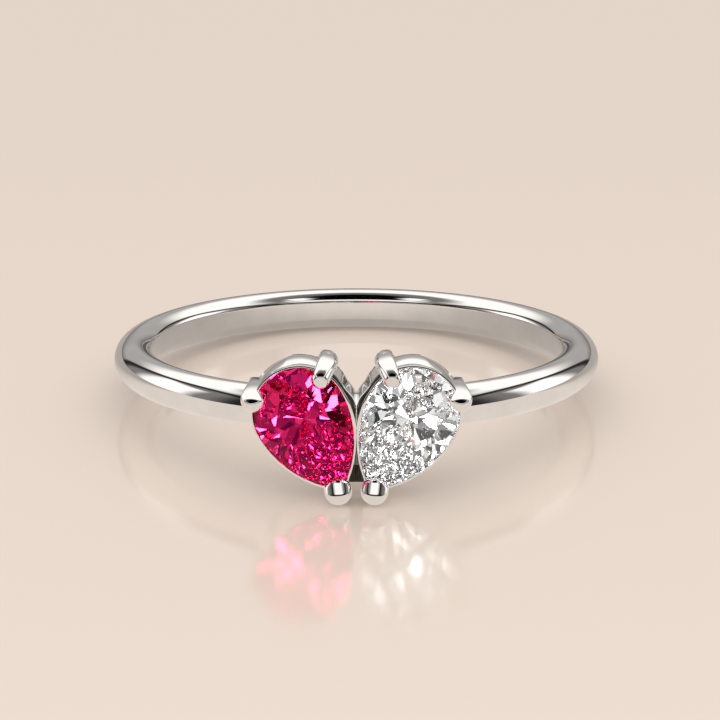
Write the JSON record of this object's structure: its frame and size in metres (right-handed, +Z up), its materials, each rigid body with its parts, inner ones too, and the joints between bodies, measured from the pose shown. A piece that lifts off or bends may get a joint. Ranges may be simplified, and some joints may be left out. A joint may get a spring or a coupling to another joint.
{
  "type": "finger ring",
  "caption": "Finger ring with a plain round band and a heart-shaped head of pear-cut stones in claw baskets, lying on its side.",
  "frame": {"origin": "centre of the finger hole, on its axis", "axes": "+Z up from the surface that the ring lies on, -Y towards the stones, +X to the right of someone facing the stones; the finger hole's axis leans back from +Z by the ring's resting tilt"},
  "size_m": [0.0204, 0.0228, 0.0057],
  "materials": {
    "polished_metal": "high polish",
    "pink_gem": "polished facets",
    "clear_gem": "polished facets"
  },
  "bodies": {
    "root": {"ring_mount": "polished_metal", "pink_stone": "pink_gem", "clear_stone": "clear_gem"}
  },
  "joints": []
}
